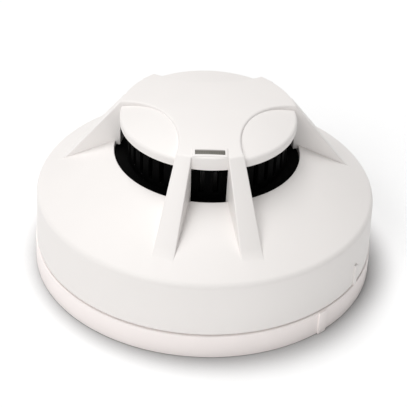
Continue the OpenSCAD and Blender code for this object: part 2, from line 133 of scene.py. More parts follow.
class DetectorCoverSizes(bpy.types.PropertyGroup):
    """Sizes of the moulded cover."""

    radius: length("Skirt radius", "Radius of the skirt's lower edge", COVER_HIGH.x)
    foot: length("Foot", "Height of the skirt's lower edge", COVER_LOW.z)
    corner_radius: length("Corner radius", "Radius of the skirt's top", COVER_HIGH.x - 0.00025)
    corner: length("Corner", "Height where skirt and cone meet", COVER_LOW.z + 0.0166)
    shoulder: length("Shoulder", "Length of the round between skirt and cone", 0.00135)
    wall: length("Wall", "Thickness of the cover", 0.0022)
    lip_radius: length("Window radius", "Radius where the cone ends", 0.0271)
    lip: length("Window foot", "Height where the cone ends", COVER_LOW.z + 0.0292)
    rim: length("Rim foot", "Height of the cap's lower edge", COVER_LOW.z + 0.0386)
    rim_top: length("Rim top", "Height of the cap's upper edge", COVER_HIGH.z - 0.0025)
    top: length("Top", "Height of the dome's middle", COVER_HIGH.z)
    cap_radius: length("Cap radius", "Radius of the cap", 0.0256)
    petal_radius: length("Petal radius", "Radius of the circle round a petal", 0.022)
    petal_reach: length("Petal reach", "How far a petal reaches in", 0.0121)
    petal_inner_step: length("Inner step", "Step at a petal's inner end", 0.0005)
    petal_rim_step: length("Rim step", "Step to a petal at the rim", 0.00155)
    fin_root: length("Fin root", "Width of a fin at the cap", 0.0044)
    fin_tip: length("Fin tip", "Width of a fin at its foot", 0.0064)
    fin_end: length("Fin end", "Radius where a fin ends", 0.0424)
    mark_width: length("Mark width", "Width of the twist mark", 0.0015)
    mark_height: length("Mark height", "Height of the twist mark", 0.0068)
    mark_out: length("Mark height out", "How far the twist marks stand out", 0.0005)


class DetectorBaseSizes(bpy.types.PropertyGroup):
    """Sizes of the mounting base."""

    radius: length("Base radius", "Radius of the base", BASE_HIGH.x)
    height: length("Base height", "Height of the base's rim", 0.0075)
    floor: length("Floor", "Thickness of the base's floor", 0.002)
    wall: length("Base wall", "Thickness of the base's outer wall", 0.0022)
    seat: length("Seat", "Height of the seal's seat", SEAL_LOW.z - 0.0003)
    seat_radius: length("Seat radius", "Inner radius of the seal's seat", 0.04495)
    hook_out: length("Hook radius", "Outer radius of the hooks", 0.04195)
    hook_wall: length("Hook wall", "Thickness of a hook's wall", 0.0018)
    ledge_in: length("Ledge radius", "Inner radius of a hook's ledge", 0.03695)
    ledge: length("Ledge", "Height of a hook's ledge", 0.005)
    ledge_thick: length("Ledge thickness", "Thickness of a hook's ledge", 0.0015)
    cable: length("Cable entry", "Radius of the cable entry", 0.011)
    slot: length("Slot half width", "Half the width of a fixing slot", 0.00225)
    slot_long: length("Slot length", "Length of a fixing slot", 0.012)
    mark_width: length("Base mark width", "Width of the base's twist mark", 0.003)


class DetectorLooks(bpy.types.PropertyGroup):
    """Colours of the finishes, and the twist between the two marks."""

    cover: colour("Cover", "Colour of the cover's plastic", (0.86, 0.828, 0.806))
    base: colour("Base", "Colour of the base's plastic", (0.965, 0.9, 0.878))
    lens: colour("Indicator", "Colour of the light pipe", (0.16, 0.152, 0.132))
    board: colour("Board", "Colour of the solder resist", (0.012, 0.115, 0.045))
    fin_spread: bpy.props.FloatProperty(
        name="Fin spread",
        description="Bearing of each fin from its arm",
        default=math.radians(16.7),
        subtype="ANGLE",
    )
    mark_bearing: bpy.props.FloatProperty(
        name="Mark bearing",
        description="Bearing of the cover's twist mark from the front",
        default=math.radians(60.4),
        subtype="ANGLE",
    )
    twist: bpy.props.FloatProperty(
        name="Twist",
        description="Turn from the open position to the locked one",
        default=math.radians(18.6),
        subtype="ANGLE",
    )


class DetectorStage(bpy.types.PropertyGroup):
    """Camera and light."""

    distance: length("Distance", "Camera's distance", 0.5)
    elevation: bpy.props.FloatProperty(
        name="Elevation",
        description="Camera's height above the horizon",
        default=math.radians(34.57),
        subtype="ANGLE",
    )
    azimuth: bpy.props.FloatProperty(
        name="Azimuth",
        description="Camera's bearing from the front",
        default=math.radians(-2.2),
        subtype="ANGLE",
    )
    roll: bpy.props.FloatProperty(
        name="Roll",
        description="Camera's lean",
        default=math.radians(2.63),
        subtype="ANGLE",
    )
    lens: bpy.props.FloatProperty(
        name="Lens", description="Focal length in millimetres", default=147.9
    )
    sky: bpy.props.FloatProperty(
        name="Sky", description="Strength of the light from all round", default=0.335
    )
    key: bpy.props.FloatProperty(
        name="Key", description="Strength of the high light from behind", default=1.77
    )
    fill: bpy.props.FloatProperty(
        name="Fill", description="Strength of the light from the left", default=0.89
    )
    low: bpy.props.FloatProperty(
        name="Low light", description="Strength of the low light from the front", default=0.27
    )


def in_mm(group):
    """The sizes of a property group, in millimetres."""
    return SimpleNamespace(**{n: getattr(group, n) / MM for n in group.__annotations__})


# ---- mesh helpers, all in millimetres until a piece is finished ----


def turned(bm, bearing):
    """Turns a mesh drawn at the front onto a bearing, in degrees towards +X."""
    bmesh.ops.rotate(bm, verts=bm.verts, matrix=Matrix.Rotation(math.radians(bearing), 3, "Z"))
    return bm


def moved(bm, x=0, y=0, z=0):
    """Shifts a whole mesh."""
    bmesh.ops.translate(bm, verts=bm.verts, vec=(x, y, z))
    return bm


def closed(bm):
    """Merges doubles and turns all faces outwards."""
    bmesh.ops.remove_doubles(bm, verts=bm.verts, dist=MERGE)
    bmesh.ops.recalc_face_normals(bm, faces=bm.faces)
    return bm


def rounded_edges(bm, parts, offset, segments=3, kind="EDGES"):
    """Bevels edges, or the corners of a flat face, with a round."""
    bmesh.ops.bevel(
        bm,
        geom=parts,
        offset=offset,
        offset_type="OFFSET",
        segments=segments,
        profile=0.5,
        affect=kind,
        clamp_overlap=True,
        material=-1,
    )
    return bm


def sharp_edges(bm, limit=40):
    """Edges whose two faces meet at more than limit degrees."""
    return [e for e in bm.edges if e.is_manifold and e.calc_face_angle() > math.radians(limit)]


def section(points, segments=6):
    """A flat face in the XZ plane from corners (x, z) or (x, z, round)."""
    bm = bmesh.new()
    verts = [bm.verts.new((p[0], 0, p[1])) for p in points]
    bm.faces.new(verts)
    for vert, point in zip(verts, points):
        if len(point) > 2:
            rounded_edges(bm, [vert], point[2], segments, "VERTICES")
    return bm


def crowned(bm, height, cuts=36):
    """Bows a section's long edges that end on a curve of height over radius."""
    on_curve = [
        e
        for e in bm.edges
        if e.calc_length() > 5 and all(abs(v.co.z - height(v.co.x)) < MERGE for v in e.verts)
    ]
    made = bmesh.ops.subdivide_edges(bm, edges=on_curve, cuts=cuts)
    for part in made["geom_inner"]:
        if isinstance(part, bmesh.types.BMVert):
            part.co.z = height(part.co.x)
    return bm


def spun(bm, steps=SPIN_STEPS):
    """Turns a section about the axis into a closed solid."""
    bmesh.ops.delete(bm, geom=bm.faces[:], context="FACES_ONLY")
    on_axis = [e for e in bm.edges if all(abs(v.co.x) < MERGE for v in e.verts)]
    bmesh.ops.delete(bm, geom=on_axis, context="EDGES")
    bmesh.ops.spin(
        bm,
        geom=bm.verts[:] + bm.edges[:],
        cent=(0, 0, 0),
        axis=(0, 0, 1),
        angle=math.tau,
        steps=steps,
        use_merge=True,
    )
    return closed(bm)


def swept(bm, middle, half, steps=16):
    """Turns a section part of the way round, centred on a bearing, in degrees."""
    bmesh.ops.spin(
        bm,
        geom=bm.faces[:],
        cent=(0, 0, 0),
        axis=(0, 0, 1),
        angle=math.radians(2 * half),
        steps=steps,
        use_merge=False,
    )
    closed(bm)
    return turned(bm, middle - half - 90)


def raised(bm, height):
    """Extrudes flat faces upwards into a solid."""
    made = bmesh.ops.extrude_face_region(bm, geom=bm.faces[:])
    verts = [g for g in made["geom"] if isinstance(g, bmesh.types.BMVert)]
    bmesh.ops.translate(bm, verts=verts, vec=(0, 0, height))
    return closed(bm)


def block(x0, x1, y0, y1, z0, z1, edge=0.0, segments=2):
    """A box between six limits, with rounded edges."""
    bm = bmesh.new()
    bmesh.ops.create_cube(bm, size=1)
    bmesh.ops.scale(bm, verts=bm.verts, vec=(x1 - x0, y1 - y0, z1 - z0))
    moved(bm, (x0 + x1) / 2, (y0 + y1) / 2, (z0 + z1) / 2)
    if edge:
        rounded_edges(bm, bm.edges[:], edge, segments)
    return bm


def rod(radius, z0, z1, edge=0.0, steps=48):
    """A round bar standing between two heights."""
    corner = (edge,) if edge else ()
    return spun(section([(0, z0), (radius, z0, *corner), (radius, z1, *corner), (0, z1)], 3), steps)


def gathered(parts):
    """Joins separate solids into one mesh."""
    whole = bmesh.new()
    for part in parts:
        mesh = bpy.data.meshes.new("part")
        part.to_mesh(mesh)
        part.free()
        whole.from_mesh(mesh)
        bpy.data.meshes.remove(mesh)
    return whole


def as_object(bm, name):
    """Puts a mesh into the scene."""
    mesh = bpy.data.meshes.new(name)
    bm.to_mesh(mesh)
    bm.free()
    made = bpy.data.objects.new(name, mesh)
    bpy.context.scene.collection.objects.link(made)
    return made


def applied(piece):
    """Makes a piece's modifiers part of its mesh."""
    graph = bpy.context.evaluated_depsgraph_get()
    mesh = bpy.data.meshes.new_from_object(piece.evaluated_get(graph))
    old = piece.data
    piece.modifiers.clear()
    piece.data = mesh
    bpy.data.meshes.remove(old)
    return piece


def combined(piece, operation, solids):
    """Adds solids to a piece, or cuts them out of it."""
    group = bpy.data.collections.new("solids")
    bpy.context.scene.collection.children.link(group)
    tools = [as_object(bm, f"solid_{i}") for i, bm in enumerate(solids)]
    for tool in tools:
        bpy.context.scene.collection.objects.unlink(tool)
        group.objects.link(tool)
    change = piece.modifiers.new("Combine", "BOOLEAN")
    change.operation = operation
    change.solver = "EXACT"
    change.operand_type = "COLLECTION"
    change.collection = group
    applied(piece)
    for tool in tools:
        mesh = tool.data
        bpy.data.objects.remove(tool)
        bpy.data.meshes.remove(mesh)
    bpy.data.collections.remove(group)
    return piece


def shaded(bm, limit=32):
    """Smooths a mesh's shading, but not across edges sharper than limit degrees."""
    for face in bm.faces:
        face.smooth = True
    for edge in bm.edges:
        edge.smooth = edge.is_manifold and edge.calc_face_angle() < math.radians(limit)


def finished(piece, body, finish, slot, *nodes, limit=32):
    """Brings a piece to metres, and gives it its shading, finish, body and place in the frame."""
    bm = bmesh.new()
    bm.from_mesh(piece.data)
    bmesh.ops.remove_doubles(bm, verts=bm.verts, dist=MERGE)
    bmesh.ops.dissolve_degenerate(bm, edges=bm.edges, dist=MERGE)
    bmesh.ops.scale(bm, verts=bm.verts, vec=(MM, MM, MM))
    shaded(bm, limit)
    bm.to_mesh(piece.data)
    bm.free()
    piece.data.materials.clear()
    piece.data.materials.append(finish)
    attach(piece, body)
    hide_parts(*nodes)
    return piece


def softened(node, name, body, finish, slot, edge=0.15, segments=2, limit=40):
    """Stands in for a CAD node with a copy of it whose sharp edges are rounded."""
    bm = bmesh.new()
    bm.from_mesh(frame["nodes"][node].data)
    bmesh.ops.scale(bm, verts=bm.verts, vec=(1 / MM, 1 / MM, 1 / MM))
    bmesh.ops.remove_doubles(bm, verts=bm.verts, dist=0.001)
    bmesh.ops.dissolve_limit(
        bm, angle_limit=math.radians(0.6), verts=bm.verts, edges=bm.edges
    )
    rounded_edges(bm, sharp_edges(bm, limit), edge, segments)
    return finished(as_object(bm, name), body, finish, slot, node)


# ---- finishes ----


class Value:
    """A socket that carries a number, so that shader maths reads as an expression."""

    def __init__(self, finish, socket):
        self.finish = finish
        self.socket = socket

    def joined(self, operation, first, second):
        """A Math node's result."""
        node = self.finish.node("ShaderNodeMath", {"operation": operation}, {0: first, 1: second})
        return Value(self.finish, node.outputs[0])

    def __add__(self, other):
        return self.joined("ADD", self, other)

    def __radd__(self, other):
        return self.joined("ADD", other, self)

    def __sub__(self, other):
        return self.joined("SUBTRACT", self, other)

    def __rsub__(self, other):
        return self.joined("SUBTRACT", other, self)

    def __mul__(self, other):
        return self.joined("MULTIPLY", self, other)

    def __rmul__(self, other):
        return self.joined("MULTIPLY", other, self)

    def __gt__(self, other):
        return self.joined("GREATER_THAN", self, other)

    def __lt__(self, other):
        return self.joined("LESS_THAN", self, other)

    def between(self, low, high):
        """0 below low, 1 above high, and a ramp between them."""
        node = self.finish.node(
            "ShaderNodeMapRange",
            {"clamp": True},
            {"Value": self, "From Min": low, "From Max": high},
        )
        return Value(self.finish, node.outputs["Result"])


class Finish:
    """A material as it is made: its nodes, and the shader that they feed."""

    def __init__(self, name, **constants):
        self.material = bpy.data.materials.new(name)
        self.material.use_nodes = True
        self.tree = self.material.node_tree
        self.tree.nodes.clear()
        self.shader = self.node("ShaderNodeBsdfPrincipled")
        output = self.node("ShaderNodeOutputMaterial")
        self.tree.links.new(self.shader.outputs[0], output.inputs["Surface"])
        for socket, value in constants.items():
            self.shader.inputs[socket.replace("_", " ")].default_value = value

    def node(self, kind, settings=None, inputs=None):
        """A node of a kind, with its settings and what goes into its sockets."""
        made = self.tree.nodes.new(kind)
        for key, value in (settings or {}).items():
            if key == "stops":
                ramp = made.color_ramp
                for place, shade in value[2:]:
                    ramp.elements.new(place)
                for element, (place, shade) in zip(ramp.elements, sorted(value)):
                    element.position = place
                    element.color = (*shade, 1)
            else:
                setattr(made, key, value)
        for key, value in (inputs or {}).items():
            socket = made.inputs[key]
            if isinstance(value, Value):
                value = value.socket
            if isinstance(value, bpy.types.NodeSocket):
                self.tree.links.new(value, socket)
            else:
                socket.default_value = value
        return made

    def place(self, stretch=(1, 1, 1), turn=(0, 0, 0)):
        """Object coordinates, stretched or turned."""
        where = self.node("ShaderNodeTexCoord")
        if stretch == (1, 1, 1) and turn == (0, 0, 0):
            return where.outputs["Object"]
        mapped = self.node(
            "ShaderNodeMapping",
            {},
            {"Vector": where.outputs["Object"], "Scale": stretch, "Rotation": turn},
        )
        return mapped.outputs[0]

    def noise(self, size, detail=2, place=None, roughness=0.5):
        """Cloudy noise whose features are about size metres across."""
        made = self.node(
            "ShaderNodeTexNoise",
            {},
            {
                "Vector": place or self.place(),
                "Scale": 1 / size,
                "Detail": detail,
                "Roughness": roughness,
            },
        )
        return Value(self, made.outputs[0])

    def along(self, axis, place=None):
        """One object coordinate, in metres."""
        split = self.node("ShaderNodeSeparateXYZ", {}, {0: place or self.place()})
        return Value(self, split.outputs[axis])

    def blended(self, factor, first, second):
        """A colour between two colours."""
        made = self.node(
            "ShaderNodeMix",
            {"data_type": "RGBA"},
            {0: factor, 6: self.solid(first), 7: self.solid(second)},
        )
        return made.outputs[2]

    @staticmethod
    def solid(shade):
        """A colour with its alpha, or a link as it is."""
        return shade if isinstance(shade, bpy.types.NodeSocket) else (*shade[:3], 1)

    def feed(self, socket, value):
        """Feeds one of the shader's sockets."""
        source = value.socket if isinstance(value, Value) else value
        self.tree.links.new(source, self.shader.inputs[socket])

    def bump(self, height, depth, strength=1.0):
        """Relief whose height of 1 stands depth metres proud."""
        made = self.node(
            "ShaderNodeBump", {}, {"Height": height, "Distance": depth, "Strength": strength}
        )
        self.feed("Normal", made.outputs[0])


def scaled(shade, factor):
    """A colour made lighter or darker."""
    return tuple(min(1.0, c * factor) for c in shade)


def moulded(name, shade, roughness=0.46, grain=0.00035, depth=0.000006, spread=0.02):
    """Moulded plastic with a fine spark-eroded grain."""
    f = Finish(name, Specular_IOR_Level=0.42)
    cloud = f.noise(0.018, 3)
    fine = f.noise(grain, 2, roughness=0.6)
    f.feed("Base Color", f.blended(cloud, scaled(shade, 1 - spread), scaled(shade, 1 + spread)))
    f.feed("Roughness", roughness - 0.05 + 0.07 * cloud + 0.05 * fine)
    f.bump(fine + 0.25 * cloud, depth)
    return f.material


def plated(name, shade, roughness, streak=(1, 1, 1), depth=0.000002):
    """Plated metal with drawn streaks and a clouded sheen."""
    f = Finish(name, Metallic=1.0)
    drawn = f.noise(0.0006, 3, f.place(streak))
    cloud = f.noise(0.004, 2)
    f.feed("Base Color", f.blended(cloud.between(0.3, 0.7), scaled(shade, 0.86), shade))
    f.feed("Roughness", roughness - 0.06 + 0.12 * drawn + 0.05 * cloud)
    f.bump(drawn, depth)
    return f.material


def matt_black(name):
    """Moulded black plastic that hardly shines."""
    f = Finish(name, Specular_IOR_Level=0.04)
    cloud = f.noise(0.006, 3)
    fine = f.noise(0.0003, 2)
    f.feed("Base Color", f.blended(cloud, (0.0006, 0.0006, 0.0006), (0.0014, 0.0014, 0.0014)))
    f.feed("Roughness", 0.6 + 0.15 * cloud)
    f.bump(fine, 0.000008)
    return f.material


def rubber(name):
    """Soft black rubber with a dusty bloom."""
    f = Finish(name, Specular_IOR_Level=0.3)
    bloom = f.noise(0.006, 4, roughness=0.65)
    fine = f.noise(0.00025, 2)
    dusty = bloom.between(0.35, 0.75)
    f.feed("Base Color", f.blended(dusty, (0.008, 0.008, 0.009), (0.026, 0.026, 0.027)))
    f.feed("Roughness", 0.55 + 0.2 * bloom)
    f.bump(fine, 0.00001)
    return f.material


def solder_resist(name, shade):
    """Green solder resist that stands up in a pattern of tracks."""
    f = Finish(name, Coat_Weight=0.4, Coat_Roughness=0.15)
    tracks = f.node(
        "ShaderNodeTexVoronoi",
        {"distance": "CHEBYCHEV"},
        {"Vector": f.place(), "Scale": 330, "Randomness": 0.75},
    )
    run = Value(f, tracks.outputs["Distance"]).between(0.28, 0.34)
    weave = f.noise(0.0005, 2)
    copper = f.blended(weave, scaled(shade, 1.7), scaled(shade, 2.1))
    bare = f.blended(weave, scaled(shade, 0.9), scaled(shade, 1.1))
    f.feed("Base Color", f.blended(run, copper, bare))
    f.feed("Roughness", 0.34 + 0.12 * weave)
    f.bump(1 - run + 0.2 * weave, 0.00002)
    return f.material


def lens_plastic(name, shade, painted_shade_top):
    """Smoked light pipe with a fine ribbed face, with painted shade that turns it black below a height
    that no light reaches.
    """
    f = Finish(name, Specular_IOR_Level=0.5)
    across = f.along("X")
    ribs = f.node("ShaderNodeMath", {"operation": "SINE"}, {0: across * 9000})
    rib = Value(f, ribs.outputs[0]) * 0.5 + 0.5
    cloud = f.noise(0.0015, 2)
    face = f.blended(rib * cloud, scaled(shade, 0.85), scaled(shade, 1.25))
    # Painted shade: below this height the pipe's colour is painted nearly black, as no light reaches
    # it there.
    lit = f.along("Z").between(painted_shade_top - 0.001, painted_shade_top)
    f.feed("Base Color", f.blended(lit, scaled(shade, 0.01), face))
    f.feed("Roughness", 0.3 + 0.15 * cloud)
    f.bump(rib, 0.00002)
    return f.material


def glazed(name, shade, roughness=0.2, cloud_size=0.002, spread=0.2, coat=0.5):
    """A dipped or lacquered skin with slow changes of colour."""
    f = Finish(name, Coat_Weight=coat, Coat_Roughness=0.12)
    cloud = f.noise(cloud_size, 3)
    fine = f.noise(0.0003, 2)
    f.feed("Base Color", f.blended(cloud, scaled(shade, 1 - spread), scaled(shade, 1 + spread)))
    f.feed("Roughness", roughness + 0.12 * cloud)
    f.bump(fine + cloud, 0.00001)
    return f.material


def sleeved(name, shade, tint, foot, height):
    """A shrunk sleeve under a tinted coat, with a bare can top."""
    f = Finish(name, Coat_Weight=0.3, Coat_Roughness=0.2)
    up = f.along("Z")
    cloud = f.noise(0.003, 2)
    sleeve = f.blended(cloud, scaled(shade, 0.85), scaled(shade, 1.15))
    top = up > foot + height - 0.00025
    around = f.noise(0.0002, 2, f.place((1, 1, 0.1)))
    can = f.blended(around, (0.55, 0.55, 0.56), (0.7, 0.7, 0.71))
    f.feed("Base Color", f.blended(top, sleeve, can))
    f.feed("Metallic", top)
    f.feed("Roughness", 0.28 + 0.12 * cloud)
    f.bump(around, 0.000003)
    f.shader.inputs["Coat Tint"].default_value = (*tint, 1)
    return f.material


def foil_label(name, radius):
    """A printed foil label: a pale field, a border and plain ruled bars."""
    f = Finish(name, Specular_IOR_Level=0.5)
    x = f.along("X")
    y = f.along("Y")
    away = f.node("ShaderNodeMath", {"operation": "SQRT"}, {0: x * x + y * y})
    ring = Value(f, away.outputs[0])
    border = (ring > radius * 0.90) * (ring < radius * 0.93)
    waves = f.node("ShaderNodeMath", {"operation": "SINE"}, {0: y * 2600})
    half_length = f.node("ShaderNodeMath", {"operation": "ABSOLUTE"}, {0: x})
    rules = (Value(f, waves.outputs[0]) > 0.72) * (Value(f, half_length.outputs[0]) < radius * 0.55)
    inside = ring < radius * 0.72
    ink = (border + rules * inside).between(0.2, 0.8)
    cloud = f.noise(0.004, 3)
    field = f.blended(cloud, (0.60, 0.60, 0.59), (0.70, 0.70, 0.69))
    f.feed("Base Color", f.blended(ink, field, (0.05, 0.05, 0.055)))
    f.feed("Roughness", 0.35 + 0.15 * cloud)
    f.bump(cloud - 0.1 * ink, 0.00001)
    return f.material


def glass_body(name, shade):
    """A small sealed glass body with its parts showing as a darker core."""
    f = Finish(name, IOR=1.5, Coat_Weight=1.0, Coat_Roughness=0.03)
    core = f.noise(0.0012, 3)
    f.feed("Base Color", f.blended(core.between(0.35, 0.65), shade, scaled(shade, 0.45)))
    f.feed("Roughness", 0.08 + 0.1 * core)
    f.bump(core, 0.000005)
    return f.material


FINISHES = {}


def finish_of(slot, looks):
    """The finish of a material slot, made when it is first asked for."""
    if slot not in FINISHES:
        makers = {
            "cover_plastic": lambda: moulded("CoverPlastic", looks.cover),
            "base_plastic": lambda: moulded("BasePlastic", looks.base),
            "black_plastic": lambda: matt_black("BlackPlastic"),
            "seal_rubber": lambda: rubber("SealRubber"),
            "contact_metal": lambda: plated("NickelPlate", (0.74, 0.69, 0.60), 0.3, (0.1, 1, 1)),
            "steel": lambda: plated("ZincSteel", (0.66, 0.67, 0.69), 0.36, (1, 1, 0.2)),
            "board": lambda: solder_resist("SolderResist", looks.board),
            "chip_black": lambda: moulded(
                "ChipResin", (0.018, 0.018, 0.019), 0.5, 0.0002, 0.000008, 0.15
            ),
            "led_red": lambda: glazed("LedResin", (0.55, 0.02, 0.02), 0.12, coat=0.8),
            # The pipe's colour fades to a painted black shade between 2 and 3 mm below its top.
            "lens_grey": lambda: lens_plastic("SmokedLens", looks.lens, PIPE_HIGH.z - 0.002),
            "varistor_blue": lambda: glazed("VaristorLacquer", (0.03, 0.10, 0.38), 0.3),
            "capacitor_sleeve": lambda: sleeved(
                "CapacitorSleeve",
                (0.02, 0.025, 0.07),
                (0.9, 0.9, 0.95),
                BOARD_HIGH.z,
                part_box("capacitors")[1].z - BOARD_HIGH.z,
            ),
            "film_red": lambda: glazed("FilmLacquer", (0.50, 0.05, 0.03), 0.25),
            "diode_glass": lambda: glass_body("DiodeGlass", (0.42, 0.12, 0.05)),
            "reed_glass": lambda: glass_body("ReedGlass", (0.30, 0.42, 0.36)),
            "thermistor_epoxy": lambda: glazed("ThermistorEpoxy", (0.05, 0.035, 0.025), 0.2),
            "label": lambda: foil_label("FoilLabel", LABEL_HIGH.x),
        }
        FINISHES[slot] = makers[slot]()
    return FINISHES[slot]


# ---- the cover ----


def cover_heights(s):
    """The surfaces of the cover, as heights over radius."""
    slope = (s.lip - s.corner) / (s.corner_radius - s.lip_radius)
    inner_step, rim_step = s.petal_inner_step, s.petal_rim_step
    inner = s.cap_radius - s.petal_reach
    fall = (rim_step - inner_step) / (1 - (inner / s.cap_radius) ** 2)
    rise = s.top - s.rim_top

    def cone(r):
        return s.lip - (r - s.lip_radius) * slope

    def dome(r):
        return s.top - rise * (r / s.cap_radius) ** 2

    def petal(r):
        return s.top - rim_step + fall - (rise + fall) * (r / s.cap_radius) ** 2

    drop = s.wall / math.cos(math.atan(slope))
    return SimpleNamespace(cone=cone, dome=dome, petal=petal, drop=drop, inner=inner)


def skirt_and_cone(s, h):
    """The shell from the skirt's foot up to the window."""
    inner = s.corner_radius - s.wall
    return spun(
        section(
            [
                (inner, s.foot, 0.2),
                (s.radius, s.foot, 0.3),
                (s.corner_radius, s.corner, s.shoulder),
                (s.lip_radius, s.lip, 0.45),
                (s.lip_radius, s.lip - h.drop),
                (inner, h.cone(inner) - h.drop, 0.5),
            ]
        )
    )


def low_cap(s, h):
    """The cap's shell at the height of its petals."""
    inner = s.cap_radius - s.wall
    edge = s.cap_radius - 0.7

    def under(r):
        return h.dome(r) - s.wall

    bm = section(
        [
            (0, h.petal(0)),
            (edge, h.petal(edge)),
            (s.cap_radius, h.petal(s.cap_radius), 1.3),
            (s.cap_radius, s.rim, 0.2),
            (inner, s.rim, 0.2),
            (inner, under(inner)),
            (0, under(0)),
        ]
    )
    crowned(bm, h.petal)
    crowned(bm, under)
    return spun(bm)


def raised_arms(s, h):
    """The dome between the petals, with the deep rim of the arms."""
    thick = 0.77 * s.wall
    proud = 0.02
    edge = s.cap_radius - 1
    bm = section(
        [
            (0, s.top),
            (edge, h.dome(edge)),
            (s.cap_radius + proud, s.rim_top, 0.5),
            (s.cap_radius + proud, s.rim + proud, 0.2),
            (edge, s.rim + proud),
            (edge, h.dome(edge) - thick),
            (0, s.top - thick),
        ]
    )
    crowned(bm, h.dome)
    crowned(bm, lambda r: h.dome(r) - thick)
    arms = as_object(spun(bm), "arms")
    cuts = [petal_cutter(s, h, a + PETAL_TURN) for a in ARMS]
    combined(arms, "DIFFERENCE", cuts)
    made = bmesh.new()
    made.from_mesh(arms.data)
    mesh = arms.data
    bpy.data.objects.remove(arms)
    bpy.data.meshes.remove(mesh)
    return made


def petal_cutter(s, h, bearing):
    """A petal's outline as a tool whose wall flares where it meets the dome."""
    r = s.petal_radius
    deep, high, flare = -7.5, 1.0, 1.2
    bm = spun(
        section(
            [
                (0, deep),
                (r - 0.1, deep),
                (r, -0.04, 0.5),
                (r + flare, 0.06),
                (r + flare, high),
                (0, high),
            ]
        ),
        SPIN_STEPS,
    )
    moved(bm, y=-(h.inner + r))
    for v in bm.verts:
        v.co.z += h.dome(math.hypot(v.co.x, v.co.y))
    return turned(bm, bearing)


def fin(s, h, bearing):
    """A wedge that flows out of the dome and down to the cone."""
    back = s.cap_radius - 0.4
    sink = h.drop / 2
    skin = 0.02
    foot = s.fin_end + 2.2
    width = 1.0
    bm = section(
        [
            (back, h.dome(back) - skin),
            (s.cap_radius, s.rim_top, 0.35),
            (s.fin_end, h.cone(s.fin_end) + skin, 1.8),
            (foot, h.cone(foot) - 3 * skin),
            (foot, h.cone(foot) - sink),
            (s.lip_radius, s.lip - sink),
            (s.cap_radius, s.lip - sink),
            (s.cap_radius, s.rim + 1),
            (back, s.rim + 1),
        ],
        8,
    )
    made = bmesh.ops.extrude_face_region(bm, geom=bm.faces[:])
    far = [g for g in made["geom"] if isinstance(g, bmesh.types.BMVert)]
    bmesh.ops.translate(bm, verts=far, vec=(0, width, 0))
    closed(bm)
    start = s.cap_radius - 1.4
    fall = (s.rim_top - h.cone(s.fin_end)) / (s.fin_end - s.cap_radius)
    for v in bm.verts:
        share = (v.co.x - start) / (s.fin_end - start)
        ridge = s.rim_top - (v.co.x - s.cap_radius) * fall
        draft = 0.03 * max(0, ridge - v.co.z)
        across = s.fin_root + (s.fin_tip - s.fin_root) * share + draft
        v.co.y = (v.co.y / width - 0.5) * across
    top = [
        e
        for e in bm.edges
        if any(abs(f.normal.y) > 0.9 for f in e.link_faces)
        and any(f.normal.z > 0.3 and abs(f.normal.y) < 0.5 for f in e.link_faces)
    ]
    rounded_edges(bm, top, 0.5, 4)
    return turned(bm, bearing - 90)


def indicator_frame(h, lens):
    """A low frame round the indicator's slot, draped on the dome."""
    bezel, proud, sink = 0.8, 0.25, 1.2
    bm = bmesh.new()
    bmesh.ops.create_grid(bm, x_segments=14, y_segments=6, size=0.5)
    bmesh.ops.scale(bm, verts=bm.verts, vec=(lens.wide + 2 * bezel, lens.deep + 2 * bezel, 1))
    raised(bm, proud + sink)
    edges = [e for e in sharp_edges(bm) if max(v.co.z for v in e.verts) > 0.1]
    rounded_edges(bm, edges, 0.24, 3)
    moved(bm, y=-lens.middle, z=-sink)
    for v in bm.verts:
        v.co.z += h.dome(math.hypot(v.co.x, v.co.y))
    return bm


def lens_place():
    """The indicator's slot: its middle radius, width and depth."""
    gap = 0.1
    wide = (PIPE_HIGH.x - PIPE_LOW.x) / MM + 2 * gap
    deep = 1.9
    return SimpleNamespace(middle=gap - PIPE_LOW.y / MM - deep / 2, wide=wide, deep=deep)


def twist_mark(radius, out, width, low, high, bearing):
    """A raised bar on a round wall."""
    return turned(block(-width / 2, width / 2, -radius - out, -radius + 1, low, high, 0.1), bearing)


def screw_place():
    """Distance of the cover screws from the axis, from the screws' own box."""
    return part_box("cover_screws")[1].y / MM - COVER_SCREW_HEAD


class OBJECT_OT_detector_cover(bpy.types.Operator):
    """Builds the white cover: skirt, cone, fins, and the cap with its three petals"""

    bl_idname = "object.detector_cover"
    bl_label = "Cover"

    def execute(self, context):
        s = in_mm(context.scene.detector_cover)
        looks = context.scene.detector_looks
        h = cover_heights(s)
        lens = lens_place()
        board_top = BOARD_HIGH.z / MM
        at = screw_place()
        boss_top = h.cone(at + BOSS_RADIUS) - h.drop / 2
        cover = as_object(skirt_and_cone(s, h), "Cover")
        bosses = [
            turned(moved(rod(BOSS_RADIUS, board_top, boss_top, 0.2), y=-at), a + PETAL_TURN)
            for a in ARMS
        ]
        mark = twist_mark(
            s.radius,
            s.mark_out,
            s.mark_width,
            s.foot,
            s.foot + s.mark_height,
            math.degrees(looks.mark_bearing),
        )
        spread = math.degrees(looks.fin_spread)
        fins = gathered(fin(s, h, a + side * spread) for a in ARMS for side in (-1, 1))
        combined(
            cover,
            "UNION",
            [
                low_cap(s, h),
                raised_arms(s, h),
                fins,
                indicator_frame(h, lens),
                gathered([*bosses, mark]),
            ],
        )
        slot = block(
            -lens.wide / 2,
            lens.wide / 2,
            -lens.middle - lens.deep / 2,
            -lens.middle + lens.deep / 2,
            s.rim,
            s.top + 1,
        )
        holes = [
            turned(
                moved(rod(COVER_SCREW_HOLE, board_top - 1, board_top + 9), y=-at), a + PETAL_TURN
            )
            for a in ARMS
        ]
        combined(cover, "DIFFERENCE", [gathered([slot, *holes])])
        finished(
            cover, "head", finish_of("cover_plastic", looks), "cover_plastic", "outer_cover"
        )
        return {"FINISHED"}


# ---- the base ----


